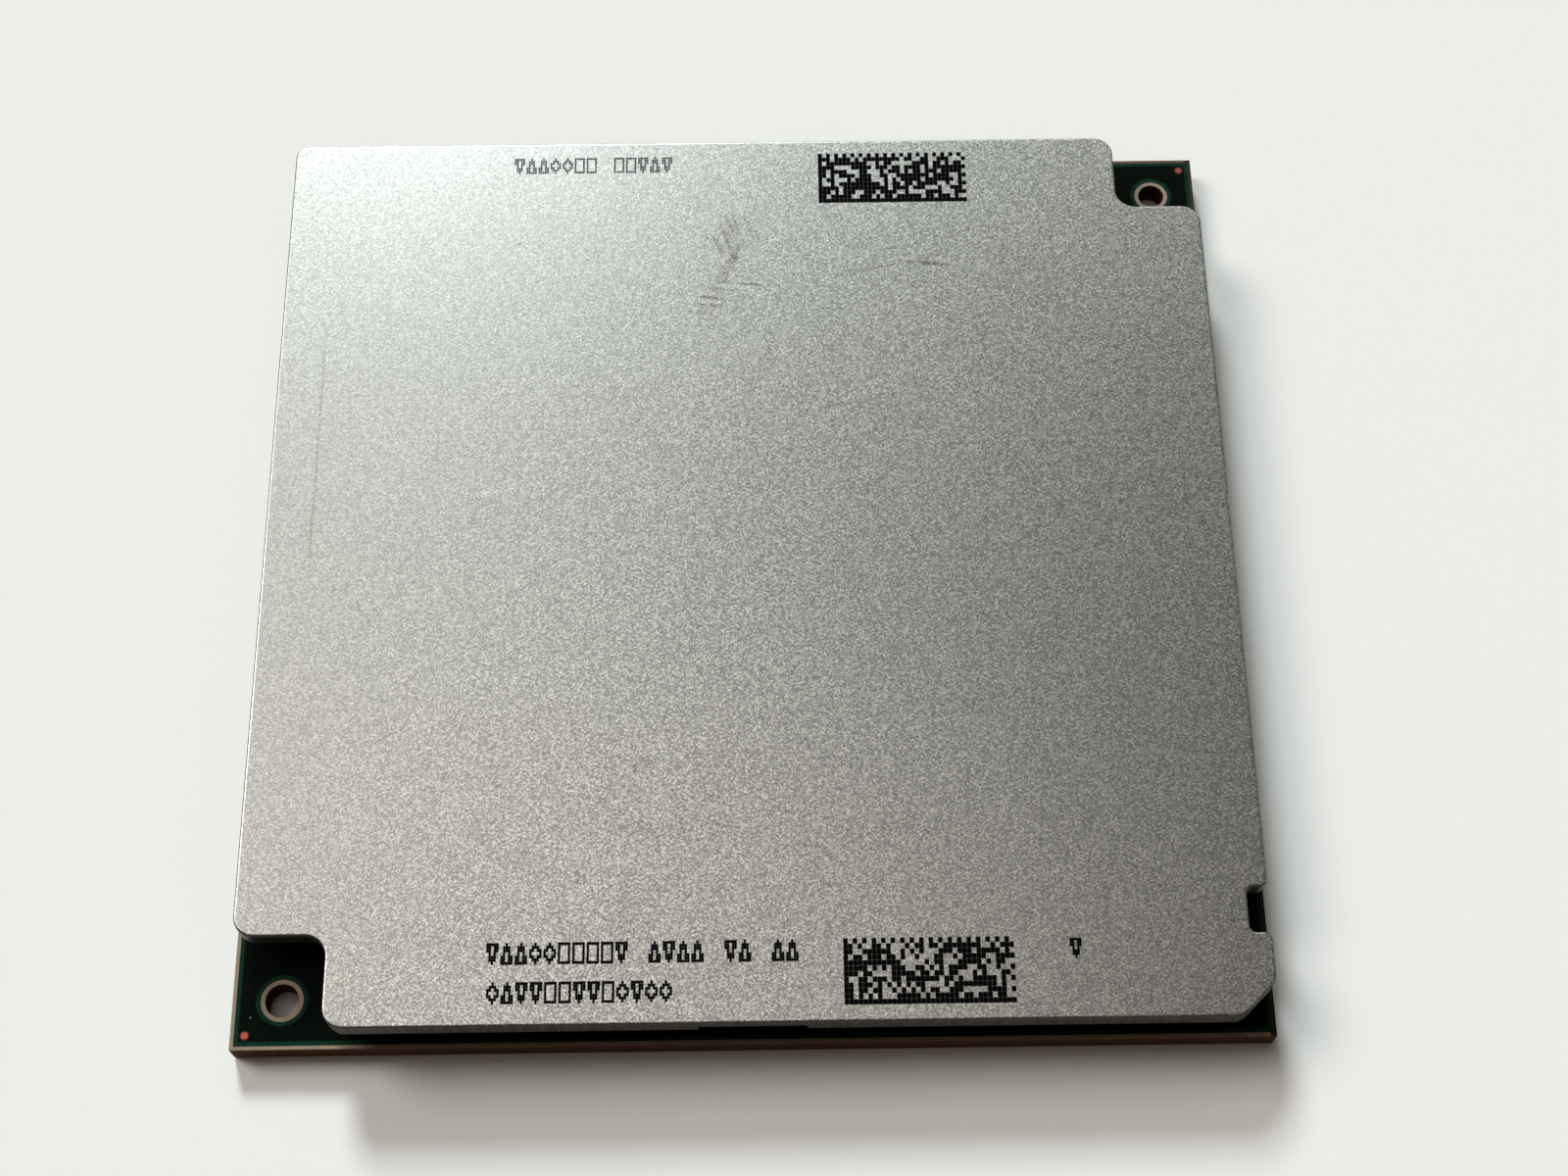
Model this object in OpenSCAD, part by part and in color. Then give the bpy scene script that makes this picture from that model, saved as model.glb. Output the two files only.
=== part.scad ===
// Square processor module: a stepped metal lid bonded to a laminate board with a land grid underneath.
// Plan is centred on the origin, the lands rest on z = 0, +Y points to the rear.

/* [Board] */
// Side of the square board
board_side = 68.5; // [60:0.5:80]
// Thickness of the bare laminate
laminate_thickness = 1.92; // [1:0.02:3]
// Thickness of each solder mask film
mask_thickness = 0.025; // [0.015:0.005:0.06]
// Bare border between the board's edge and the mask
mask_border = 0.25; // [0.1:0.05:0.6]

/* [Locating holes] */
// Distance of each hole's centre from the two board edges beside it
hole_inset = 3.25; // [2.5:0.05:5]
// Diameter of the front left hole
front_hole_d = 2.24; // [1.6:0.02:2.8]
// Diameter of the rear right hole
rear_hole_d = 1.92; // [1.6:0.02:2.8]
// Width of the bare ring round each hole
hole_ring = 0.3; // [0.1:0.05:0.6]

/* [Corner dots] */
// Diameter of each copper dot
dot_d = 0.62; // [0.3:0.02:0.9]
// Thickness of each copper dot
dot_thickness = 0.018; // [0.01:0.002:0.04]
// Distance of each dot's centre from the two board edges beside it
dot_inset = 0.95; // [0.8:0.05:1.4]
// Gap between a dot and the mask round it
dot_gap = 0.06; // [0.03:0.01:0.15]

/* [Lands] */
// Distance between neighbouring lands
land_pitch = 1.27; // [1:0.01:2]
// Diameter of each land
land_d = 0.8; // [0.4:0.05:0.95]
// Thickness of each land
land_thickness = 0.03; // [0.02:0.005:0.08]
// Least distance from the board's edge to a land's centre
land_margin = 2.4; // [1.5:0.1:6]
// Lands left out along each side of a corner
land_corner = 3; // [2:1:6]

/* [Lid] */
// Distance of the lid's edge inside the board's edge
lid_setback = 0.4; // [0:0.05:1]
// Height of the lid's top above the mask
lid_rise = 3.7; // [3:0.1:5]
// Thickness of the flange round the lid's edge
flange_thickness = 1.6; // [0.8:0.1:2]
// Overhang of the flange beyond the foot
flange_overhang = 2.4; // [1:0.1:3]
// Radius of the plain rear left corner
corner_r = 0.9; // [0.3:0.1:2]
// Distance from a locating hole's centre to the walls of the notch round it
notch_clear = 3.3; // [2.6:0.05:5]
// Radius at each turn of a notched corner
notch_r = 1.4; // [0.5:0.1:2]
// Leg of the chamfer on the front right corner
chamfer_leg = 2.3; // [1:0.1:4]
// Radius at each end of the chamfer
chamfer_r = 1.5; // [0.5:0.1:2]

/* [Edge slot] */
// Length of the slot in the right edge
slot_length = 3.05; // [2:0.05:6]
// Depth of the slot
slot_depth = 1.45; // [0.8:0.05:2]
// Distance from the lid's front edge to the slot's middle
slot_from_front = 7.1; // [6:0.1:12]
// Radius in the slot's inner corners
slot_r = 0.45; // [0.2:0.05:0.6]
// Radius on each side of the slot's mouth
slot_mouth_r = 0.6; // [0.2:0.05:0.8]

/* [Front notch] */
// Width of the notch under the front edge
front_notch_width = 7; // [3:0.5:20]
// Height of the notch under the front edge
front_notch_height = 0.65; // [0.2:0.05:0.7]

/* [Cavity and seal] */
// Width of the lid's foot where it passes a notched corner
foot_width = 1.3; // [1:0.1:3]
// Headroom in the cavity above the capacitors
cap_headroom = 0.6; // [0.3:0.05:1]
// Margin of the pedestal round the die
pedestal_margin = 0.5; // [0.2:0.1:1]
// Radius of the cavity's corners
cavity_r = 3; // [1:0.5:6]
// Thickness of the adhesive seal
seal_thickness = 0.12; // [0.06:0.02:0.3]
// Distance of the seal from the edges of the lid's foot
seal_inset = 0.6; // [0.2:0.1:1]
// Width of the vent gap in the seal
vent_width = 4; // [2:0.5:10]

/* [Die] */
// Size of the die along X
die_x = 25.2; // [12:0.2:27]
// Size of the die along Y
die_y = 27.6; // [12:0.2:29]
// Thickness of the die
die_thickness = 0.78; // [0.4:0.02:0.9]
// Standoff of the die above the board
die_standoff = 0.07; // [0.04:0.01:0.12]
// Width of the underfill's fillet round the die
fillet_width = 0.8; // [0.4:0.1:1.2]
// Height of the fillet on the die's sides
fillet_height = 0.4; // [0.2:0.05:0.6]
// Thickness of the thermal layer on the die
thermal_thickness = 0.08; // [0.03:0.01:0.15]
// Bare margin between the thermal layer and the die's edge
thermal_margin = 0.4; // [0:0.1:1.5]

/* [Capacitors] */
// Length of a capacitor
cap_length = 1; // [0.6:0.1:1.6]
// Width of a capacitor
cap_width = 0.5; // [0.3:0.05:0.8]
// Height of a capacitor
cap_height = 0.5; // [0.2:0.05:0.6]
// Length of each metal end
cap_end = 0.25; // [0.1:0.05:0.3]
// Distance between neighbouring capacitors along a row
cap_pitch = 1.8; // [1.2:0.1:3]
// Distance between the two rows of a bank
cap_row_gap = 2; // [1.8:0.1:2.4]
// Capacitors in a row
caps_per_row = 12; // [2:1:14]
// Gap between the underfill and the nearest row
cap_clearance = 1.6; // [1:0.1:3]

/* [Hidden] */
$fn = 48;
// Overshoot of cutting tools
eps = 0.05;

board_half = board_side / 2;
hole_offset = board_half - hole_inset;
lid_half = board_half - lid_setback;
notch_side = lid_half - hole_offset + notch_clear;
cavity_half = lid_half - notch_side - flange_overhang - foot_width;

// Heights, from the rest plane upwards
bottom_mask_z = land_thickness;
laminate_z = bottom_mask_z + mask_thickness;
top_mask_z = laminate_z + laminate_thickness;
top_z = top_mask_z + mask_thickness;
foot_z = top_z + seal_thickness;
lid_top_z = top_z + lid_rise;
flange_z = lid_top_z - flange_thickness;
die_z = top_z + die_standoff;
thermal_z = die_z + die_thickness;
pedestal_z = thermal_z + thermal_thickness;
roof_z = max(pedestal_z, top_z + cap_height + cap_headroom);

// The locating holes and the dots lie on the diagonal from front left to rear right
holes = [[-hole_offset, front_hole_d], [hole_offset, rear_hole_d]];
dot_offset = board_half - dot_inset;

// Land grid: an odd count a side, so that one land lies at the centre
land_reach = board_half - land_margin;
land_last = floor(land_reach / land_pitch);
corner_start = land_last - land_corner;

// A sliver between a square corner at the origin, which opens towards +X and +Y, and its rounding arc
module corner_sliver(r) {
  difference() {
    translate([-eps, -eps]) square(r + eps);
    translate([r, r]) circle(r);
  }
}

// Square with one radius on its four corners
module rounded_square(half, r) {
  difference() {
    square(2 * half, center = true);
    for (turn = [0:90:270])
      rotate(turn) translate([-half, -half]) corner_sliver(r);
  }
}

// One notched corner, drawn at the front left: the notch with its rounded mouth and its inner fillet
module corner_notch(half, depth, outer_r, inner_r) {
  inner = depth - half;
  difference() {
    translate([-half - eps, -half - eps]) square(depth + eps);
    translate([inner, inner]) rotate(180) corner_sliver(inner_r);
  }
  translate([-half, inner]) corner_sliver(outer_r);
  translate([inner, -half]) corner_sliver(outer_r);
}

// One chamfered corner, drawn at the front right, with an arc at each end of the cut
module corner_chamfer(half, leg, r) {
  tangent = r * tan(22.5);
  polygon([[half - leg, -half], [half + eps, -half - eps], [half, leg - half]]);
  for (side = [0, 1])
    mirror([side, side, 0])
      difference() {
        polygon([[half + eps, leg - half], [half + eps, leg - half + tangent], [half - r, leg - half + tangent],
                 [half - tangent * sqrt(0.5), leg - half - tangent * sqrt(0.5)]]);
        translate([half - r, leg - half + tangent]) circle(r);
      }
}

// Plan of the lid, drawn in by an inset all round
module lid_outline(inset) {
  half = lid_half - inset;
  outer_r = max(notch_r - inset, notch_r / 2);
  difference() {
    square(2 * half, center = true);
    for (turn = [0, 180])
      rotate(turn) corner_notch(half, notch_side, outer_r, notch_r);
    translate([-half, half]) rotate(-90) corner_sliver(corner_r);
    corner_chamfer(half, chamfer_leg, chamfer_r);
  }
}

// Slot in the right edge, with round inner corners and a rounded mouth
module edge_slot() {
  difference() {
    translate([lid_half - slot_depth, -slot_length / 2]) square([slot_depth + eps, slot_length]);
    for (side = [0, 1])
      mirror([0, side])
        translate([lid_half - slot_depth, -slot_length / 2]) corner_sliver(slot_r);
  }
  for (side = [0, 1])
    mirror([0, side])
      translate([lid_half, slot_length / 2]) rotate(90) corner_sliver(slot_mouth_r);
}

module hole_discs(extra) {
  for (hole = holes)
    translate([hole[0], hole[0]]) circle(d = hole[1] + 2 * extra);
}

module mask_film(z, with_dots) {
  translate([0, 0, z])
    linear_extrude(mask_thickness)
      difference() {
        square(board_side - 2 * mask_border, center = true);
        hole_discs(hole_ring);
        if (with_dots)
          for (side = [-1, 1])
            translate(side * dot_offset * [1, 1]) circle(d = dot_d + 2 * dot_gap);
      }
}

module laminate() {
  color("saddlebrown")
    translate([0, 0, laminate_z])
      difference() {
        translate([-board_half, -board_half, 0]) cube([board_side, board_side, laminate_thickness]);
        for (hole = holes)
          translate([hole[0], hole[0], -eps]) cylinder(d = hole[1], h = laminate_thickness + 2 * eps);
      }
}

module top_mask() {
  color("darkslategray") mask_film(top_mask_z, true);
}

module bottom_mask() {
  color("darkslategray") mask_film(bottom_mask_z, false);
}

module corner_dots() {
  color("darksalmon")
    for (side = [-1, 1])
      translate([side * dot_offset, side * dot_offset, top_mask_z]) cylinder(d = dot_d, h = dot_thickness);
}

module land(column, row) {
  translate([column * land_pitch, row * land_pitch, 0]) cylinder(d = land_d, h = land_thickness, $fn = 24);
}

// The eight lands beside the cut corners, on which the part rests
function is_outer(column, row) =
  max(abs(column), abs(row)) == land_last && min(abs(column), abs(row)) == corner_start;

function is_corner(column, row) = min(abs(column), abs(row)) > corner_start;

module land_grid(outer) {
  for (row = [-land_last:land_last])
    union() {
      for (column = [-land_last:land_last])
        if (!is_corner(column, row) && is_outer(column, row) == outer) land(column, row);
    }
}

module contact_lands() {
  color("gold") land_grid(false);
}

module outer_lands() {
  color("gold") land_grid(true);
}

module die_block() {
  translate([-die_x / 2, -die_y / 2, die_z]) cube([die_x, die_y, die_thickness]);
}

module die() {
  color("dimgray") die_block();
}

// Pad under the die with sloping sides, which climbs the die's flanks all round
module underfill() {
  color("black")
    difference() {
      translate([0, 0, top_z])
        intersection() {
          fillet_ridge(die_x, die_y);
          rotate(90) fillet_ridge(die_y, die_x);
        }
      die_block();
    }
}

// Ridge along Y with sloping flanks that meet the board a fillet's width outside the die
module fillet_ridge(width, length) {
  foot = width / 2 + fillet_width;
  reach = length / 2 + fillet_width;
  translate([0, reach, 0])
    rotate([90, 0, 0])
      linear_extrude(2 * reach)
        polygon([[-foot, 0], [foot, 0], [width / 2, fillet_height], [-width / 2, fillet_height]]);
}

module thermal_layer() {
  color("lightgray")
    translate([thermal_margin - die_x / 2, thermal_margin - die_y / 2, thermal_z])
      cube([die_x - 2 * thermal_margin, die_y - 2 * thermal_margin, thermal_thickness]);
}

// Two rows of capacitors along each side of the die
module capacitor_banks() {
  for (side = [0:3]) {
    reach = (side % 2 == 0 ? die_x : die_y) / 2 + fillet_width + cap_clearance;
    for (row = [0, 1])
      for (i = [0:caps_per_row - 1])
        rotate(90 * side)
          translate([reach + row * cap_row_gap, (i - (caps_per_row - 1) / 2) * cap_pitch, top_z]) children();
  }
}

module capacitor_bodies() {
  color("tan")
    capacitor_banks()
      translate([cap_end - cap_length / 2, -cap_width / 2, 0])
        cube([cap_length - 2 * cap_end, cap_width, cap_height]);
}

module capacitor_ends() {
  color("silver")
    capacitor_banks()
      for (side = [0, 1])
        translate([side * (cap_length - cap_end) - cap_length / 2, -cap_width / 2, 0])
          cube([cap_end, cap_width, cap_height]);
}

module lid_seal() {
  color("gray")
    translate([0, 0, top_z])
      linear_extrude(seal_thickness)
        difference() {
          lid_outline(flange_overhang + seal_inset);
          rounded_square(cavity_half + seal_inset, cavity_r + seal_inset);
          translate([cavity_half, -vent_width / 2]) square([lid_half, vent_width]);
        }
}

// Hollow in the lid's underside, with a pedestal left standing over the die
module lid_cavity() {
  difference() {
    translate([0, 0, foot_z - eps]) linear_extrude(roof_z - foot_z + eps) rounded_square(cavity_half, cavity_r);
    translate([-die_x / 2 - pedestal_margin, -die_y / 2 - pedestal_margin, pedestal_z])
      cube([die_x + 2 * pedestal_margin, die_y + 2 * pedestal_margin, lid_rise]);
  }
}

module lid() {
  color("silver")
    difference() {
      union() {
        translate([0, 0, flange_z])
          linear_extrude(flange_thickness)
            difference() {
              lid_outline(0);
              translate([0, slot_from_front - lid_half]) edge_slot();
            }
        translate([0, 0, foot_z]) linear_extrude(flange_z - foot_z + eps) lid_outline(flange_overhang);
      }
      lid_cavity();
      translate([-front_notch_width / 2, -lid_half - eps, flange_z - eps])
        cube([front_notch_width, flange_overhang + eps, front_notch_height + eps]);
    }
}

laminate();
top_mask();
bottom_mask();
corner_dots();
contact_lands();
outer_lands();
die();
underfill();
thermal_layer();
capacitor_bodies();
capacitor_ends();
lid_seal();
lid();
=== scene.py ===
"""Looks of a square processor module: a blasted metal lid on a dark green laminate board with gold lands.

Lengths are written in millimetres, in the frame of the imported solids, and become metres where they meet
a mesh.
"""
import math

import bpy
import numpy as np
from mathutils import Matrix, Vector


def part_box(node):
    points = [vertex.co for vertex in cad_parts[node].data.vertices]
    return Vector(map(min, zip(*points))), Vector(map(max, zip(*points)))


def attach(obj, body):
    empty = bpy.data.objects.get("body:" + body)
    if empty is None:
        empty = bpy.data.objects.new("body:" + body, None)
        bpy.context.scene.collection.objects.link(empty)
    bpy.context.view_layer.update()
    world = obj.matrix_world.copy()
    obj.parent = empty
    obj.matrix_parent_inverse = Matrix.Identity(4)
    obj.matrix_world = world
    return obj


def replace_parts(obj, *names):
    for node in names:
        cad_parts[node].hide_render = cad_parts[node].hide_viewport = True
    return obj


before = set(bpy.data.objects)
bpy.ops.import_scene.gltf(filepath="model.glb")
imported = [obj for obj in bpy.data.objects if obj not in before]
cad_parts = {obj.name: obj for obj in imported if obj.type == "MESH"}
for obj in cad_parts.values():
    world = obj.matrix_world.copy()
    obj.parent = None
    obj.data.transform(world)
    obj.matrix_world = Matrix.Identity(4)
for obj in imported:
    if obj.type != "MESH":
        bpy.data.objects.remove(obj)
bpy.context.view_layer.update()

MM = 0.001


def solid_box(node):
    """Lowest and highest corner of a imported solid, in millimetres."""
    return [np.array(corner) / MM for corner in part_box(node)]


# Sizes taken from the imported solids
BOARD_LOW, BOARD_HIGH = solid_box("laminate")
LID_LOW, LID_HIGH = solid_box("lid")
MASK_HIGH = solid_box("top_mask")[1]
THERMAL_HIGH = solid_box("thermal_layer")[1]
DIE_HIGH = solid_box("die")[1]
BOARD_HALF = BOARD_HIGH[0]
LID_HALF = LID_HIGH[0]

# Lid: flange, foot and the turns of its outline
FLANGE_THICKNESS = 1.6
FLANGE_OVERHANG = 2.4
FOOT_WIDTH = 1.3
HOLE_INSET = 3.25
HOLE_OFFSET = BOARD_HALF - HOLE_INSET
NOTCH_CLEAR = 3.3
NOTCH_AT = HOLE_OFFSET - NOTCH_CLEAR
NOTCH_R = 1.4
CORNER_R = 0.9
CHAMFER_LEG = 2.3
CHAMFER_R = 1.5
SLOT_LENGTH = 3.05
SLOT_DEPTH = 1.45
SLOT_FROM_FRONT = 7.1
SLOT_R = 0.45
SLOT_MOUTH_R = 0.6
UNDER_NOTCH_WIDTH = 7.0
UNDER_NOTCH_HEIGHT = 0.65
UNDER_NOTCH_STEP = 0.04
DENT_Y = 3.2
DENT_LENGTH = 1.3
DENT_DEPTH = 0.1
EDGE_R = 0.16
EDGE_STEPS = 7
EDGE_BAND = 0.03
BLASTED_ROLL = 2
BOTTOM_BREAK = 0.06
CAVITY_R = 3.0
CAVITY_HEADROOM = 1.1
PEDESTAL_MARGIN = 0.5
INK_THICKNESS = 0.004
LID_TOP = LID_HIGH[2] - INK_THICKNESS

# Board: holes, copper dots and the lands underneath
FRONT_HOLE_R = 1.12
REAR_HOLE_R = 0.96
DOT_OFFSET = BOARD_HALF - 0.95
DOT_R = 0.31
LAND_PITCH = 1.27
LAND_R = 0.4
LAND_LAST = 25
LAND_CORNER = 3

# Camera, fitted to the photograph: its focal length is in pixels of a frame 1600 wide
PHOTO_WIDTH_PX = 1600
FOCAL_PX = 2461.3
SENSOR_WIDTH = 36.0
CAMERA_AT = (1.45, -72.63, 157.67)
CAMERA_AIM = (2.42, -3.30, 5.70)
CAMERA_CLIP = 5.0


# Meshes

CREASE_DEG = 35
# Least length taken as more than nothing
TINY = 1e-9


def make_piece(name, points, faces, materials, face_material=None):
    """One finished piece from points in millimetres and lists of face corners, riding on the module."""
    mesh = bpy.data.meshes.new(name)
    mesh.from_pydata((np.asarray(points) * MM).tolist(), [], faces)
    for material in materials:
        mesh.materials.append(material)
    count = len(mesh.polygons)
    mesh.polygons.foreach_set("use_smooth", np.ones(count, bool))
    if face_material is not None:
        mesh.polygons.foreach_set("material_index", np.asarray(face_material, np.int32))
    mesh.set_sharp_from_angle(angle=math.radians(CREASE_DEG))
    mesh.update()
    piece = bpy.data.objects.new(name, mesh)
    bpy.context.scene.collection.objects.link(piece)
    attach(piece, "root")
    return piece


def ring_quads(rows, columns):
    """Corner numbers of the quads between neighbouring closed rings, each ring numbered in one run."""
    row, column = np.meshgrid(np.arange(rows - 1), np.arange(columns), indexing="ij")
    here = row * columns + column
    beside = row * columns + (column + 1) % columns
    return np.stack([here, here + columns, beside + columns, beside], -1).reshape(-1, 4)


def thin_pads(outlines, low, high, upper_outlines=None):
    """Points and faces of flat closed pads: each outline, an array of pads by corners, is repeated at two
    heights, with a top, a bottom turned over and one quad for each side. The upper outline may have a size of
    its own."""
    pads, corners = outlines.shape[:2]
    upper = outlines if upper_outlines is None else upper_outlines
    floor = np.concatenate([outlines, np.full((pads, corners, 1), low)], -1)
    roof = np.concatenate([upper, np.full((pads, corners, 1), high)], -1)
    points = np.concatenate([floor, roof], 1).reshape(-1, 3)
    first = (np.arange(pads) * 2 * corners)[:, None]
    step = np.arange(corners)
    top = first + corners + step
    bottom = first + step[::-1]
    here = first + step
    beside = first + (step + 1) % corners
    sides = np.stack([here, beside, beside + corners, here + corners], -1)
    return points, top.tolist() + bottom.tolist() + sides.reshape(-1, 4).tolist()


# Lid

def lid_corners():
    """Turning points of the lid's plan, anticlockwise from the front left notch, each with its radius. Points
    with no radius mark the notch under the front edge and a small dent in the right edge."""
    half, notch = LID_HALF, NOTCH_AT
    under = UNDER_NOTCH_WIDTH / 2
    slot_y = SLOT_FROM_FRONT - half
    slot_low, slot_high = slot_y - SLOT_LENGTH / 2, slot_y + SLOT_LENGTH / 2
    return np.array([
        (-notch, -half, NOTCH_R),
        (-under - UNDER_NOTCH_STEP, -half, 0),
        (-under, -half, 0),
        (under, -half, 0),
        (under + UNDER_NOTCH_STEP, -half, 0),
        (half - CHAMFER_LEG, -half, CHAMFER_R),
        (half, CHAMFER_LEG - half, CHAMFER_R),
        (half, slot_low, SLOT_MOUTH_R),
        (half - SLOT_DEPTH, slot_low, SLOT_R),
        (half - SLOT_DEPTH, slot_high, SLOT_R),
        (half, slot_high, SLOT_MOUTH_R),
        (half, DENT_Y - DENT_LENGTH / 2, 0),
        (half - DENT_DEPTH, DENT_Y, 0),
        (half, DENT_Y + DENT_LENGTH / 2, 0),
        (half, notch, NOTCH_R),
        (notch, notch, NOTCH_R),
        (notch, half, NOTCH_R),
        (-half, half, CORNER_R),
        (-half, -notch, NOTCH_R),
        (-notch, -notch, NOTCH_R)])


CORNERS = lid_corners()
SLOT_CORNERS = slice(7, 11)
ARC_POINTS = 9
KEPT = np.repeat(CORNERS[:, 2:] > 0, ARC_POINTS, 1)
KEPT[:, 0] = True
IN_SLOT = np.zeros_like(KEPT)
IN_SLOT[SLOT_CORNERS] = True
IN_SLOT = IN_SLOT[KEPT]
FIRST_POINT = np.cumsum(KEPT.sum(1)) - KEPT.sum(1)
# The scuffed part of the lid's top, a rectangle, and the turning points of the plan that its corners are
# joined to
SCUFF_LEFT, SCUFF_RIGHT = -5.2, 16.6
SCUFF_FRONT, SCUFF_REAR = 17.8, 28.2
SCUFF_TIES = [19, 5, 15, 17]
# The lid's finishes, as the numbers that its faces carry
TOP, WALL_SIDE, SCUFFED = 0, 1, 2
# Points within this reach of the notch under the front edge count as in it
NOTCH_REACH = 1e-6


def lid_ring(inset):
    """Plan of the lid drawn in by inset. Each edge moves along its inward normal, so a corner moves by the
    inset times the sum of its two normals over one plus their product. Its arc turns about a point found the
    same way. On an outer corner its radius is less by the inset, but at least half, and on an inner one it is
    more by the inset, up to the radius of the lid's edge."""
    corner, radius = CORNERS[:, :2], CORNERS[:, 2]
    along = np.roll(corner, -1, 0) - corner
    along /= np.linalg.norm(along, axis=1)[:, None]
    after = np.column_stack([-along[:, 1], along[:, 0]])
    before = np.roll(after, 1, 0)
    across = before[:, 0] * after[:, 1] - before[:, 1] * after[:, 0]
    even = (before * after).sum(1)
    turn = np.arctan2(across, even)
    start = np.arctan2(before[:, 1], before[:, 0])
    meet = (before + after) / (1 + even)[:, None]
    outer = np.maximum(radius - inset, radius / 2)
    inner = -radius - min(inset, EDGE_R)
    bend = np.where(radius > 0, np.where(turn > 0, outer, inner), 0)
    centre = corner + (inset + bend)[:, None] * meet
    angle = start[:, None] + turn[:, None] * np.linspace(0, 1, ARC_POINTS)
    normal = np.stack([np.cos(angle), np.sin(angle)], -1)
    return (centre[:, None] - bend[:, None, None] * normal)[KEPT]


def foot_ring():
    """Plan of the lid's foot: the outline drawn in by the overhang, with the slot's points spread along the
    edge."""
    ring = lid_ring(FLANGE_OVERHANG)
    along = lid_ring(0)[IN_SLOT, 1]
    edge = np.full(len(along), LID_HALF - FLANGE_OVERHANG)
    ring[IN_SLOT] = np.column_stack([edge, np.linspace(along[0], along[-1], len(along))])
    return ring


def ray_square(ring, half, radius):
    """Where rays from the centre through the ring's points meet a rounded square: on a straight side the ray
    is scaled to the half width, and past its end to the corner's circle."""
    ray = ring / np.linalg.norm(ring, axis=1)[:, None]
    side = half / np.abs(ray).max(1)
    across = np.abs(ray).min(1) * side
    middle = np.sign(ray) * (half - radius)
    ahead = (middle * ray).sum(1)
    reach = ahead ** 2 - (middle ** 2).sum(1) + radius ** 2
    arc = ahead + np.sqrt(np.maximum(reach, 0))
    return ray * np.where(across > half - radius, arc, side)[:, None]


def ray_rectangle(ring, half_x, half_y):
    """Where rays from the centre through the ring's points meet a rectangle: each is scaled until it reaches
    the nearer of the two half widths."""
    reach = np.maximum(np.abs(ring), TINY)
    scale = np.minimum(half_x / reach[:, 0], half_y / reach[:, 1])
    return ring * scale[:, None]


def top_faces(columns, inner):
    """The flat top: four faces, each between one side of the scuffed rectangle and its run of the outline,
    and last the rectangle itself, whose corners are numbered from inner."""
    ties = FIRST_POINT[SCUFF_TIES]
    faces = []
    for side in range(4):
        following = (side + 1) % 4
        run = ties[side] + np.arange((ties[following] - ties[side]) % columns + 1)
        faces.append((run % columns).tolist() + [inner + following, inner + side])
    return faces + [[inner, inner + 1, inner + 2, inner + 3]]


def make_lid(top_finish, wall_finish, scuffed_finish):
    """The lid as one closed skin: rings of its plan run from the flat top over a quarter-round edge, down the
    flange, in under the overhang, down the foot and up into the cavity, to the pedestal over the die. On the
    edge, at angle a, the plan is drawn in by the radius times (1 - sin a) and lies the radius times
    (1 - cos a) under the top."""
    flange_z = LID_HIGH[2] - FLANGE_THICKNESS
    foot_z = LID_LOW[2]
    roof_z = MASK_HIGH[2] + CAVITY_HEADROOM
    pedestal_z = THERMAL_HIGH[2]
    foot = foot_ring()
    cavity = ray_square(foot, NOTCH_AT - FLANGE_OVERHANG - FOOT_WIDTH, CAVITY_R)
    pedestal = ray_rectangle(foot, DIE_HIGH[0] + PEDESTAL_MARGIN, DIE_HIGH[1] + PEDESTAL_MARGIN)
    roll = np.linspace(0, math.pi / 2, EDGE_STEPS)
    edge = [(lid_ring(EDGE_R * (1 - math.sin(a))), LID_TOP - EDGE_R * (1 - math.cos(a)), 0) for a in roll]
    # Each level: its ring, its height, and 1 where the notch under the front edge lifts it
    levels = [(lid_ring(EDGE_R + EDGE_BAND), LID_TOP, 0)] + edge + [
        (lid_ring(0), flange_z + BOTTOM_BREAK, 1),
        (lid_ring(BOTTOM_BREAK), flange_z, 1),
        (foot, flange_z, 1),
        (foot, foot_z, 0),
        (cavity, foot_z, 0),
        (cavity, roof_z, 0),
        (pedestal, roof_z, 0),
        (pedestal, pedestal_z, 0)]
    rings = np.array([ring for ring, height, lifted in levels])
    outline = lid_ring(0)
    in_width = np.abs(outline[:, 0]) <= UNDER_NOTCH_WIDTH / 2 + NOTCH_REACH
    in_notch = in_width & (outline[:, 1] < -LID_HALF + NOTCH_REACH)
    lift = np.array([lifted for ring, height, lifted in levels])[:, None] * in_notch * UNDER_NOTCH_HEIGHT
    heights = np.array([height for ring, height, lifted in levels])[:, None] + lift
    rows, columns = heights.shape
    skin = np.concatenate([rings, heights[..., None]], -1).reshape(-1, 3)
    scuffed = [(SCUFF_LEFT, SCUFF_FRONT, LID_TOP), (SCUFF_RIGHT, SCUFF_FRONT, LID_TOP),
               (SCUFF_RIGHT, SCUFF_REAR, LID_TOP), (SCUFF_LEFT, SCUFF_REAR, LID_TOP)]
    points = np.concatenate([skin, scuffed])
    quads = ring_quads(rows, columns)
    pedestal_cap = np.arange(rows * columns - 1, (rows - 1) * columns - 1, -1)
    faces = quads.tolist() + [pedestal_cap.tolist()] + top_faces(columns, len(skin))
    blasted_rows = 1 + BLASTED_ROLL
    on_quads = np.where(np.arange(len(quads)) // columns >= blasted_rows, WALL_SIDE, TOP)
    face_material = np.append(on_quads, [WALL_SIDE, TOP, TOP, TOP, TOP, SCUFFED])
    finishes = [top_finish, wall_finish, scuffed_finish]
    lid = make_piece("blasted_lid", points, faces, finishes, face_material)
    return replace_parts(lid, "lid")


# Lands under the board

LAND_SIDES = 16
LAND_RIM = 0.02


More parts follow.
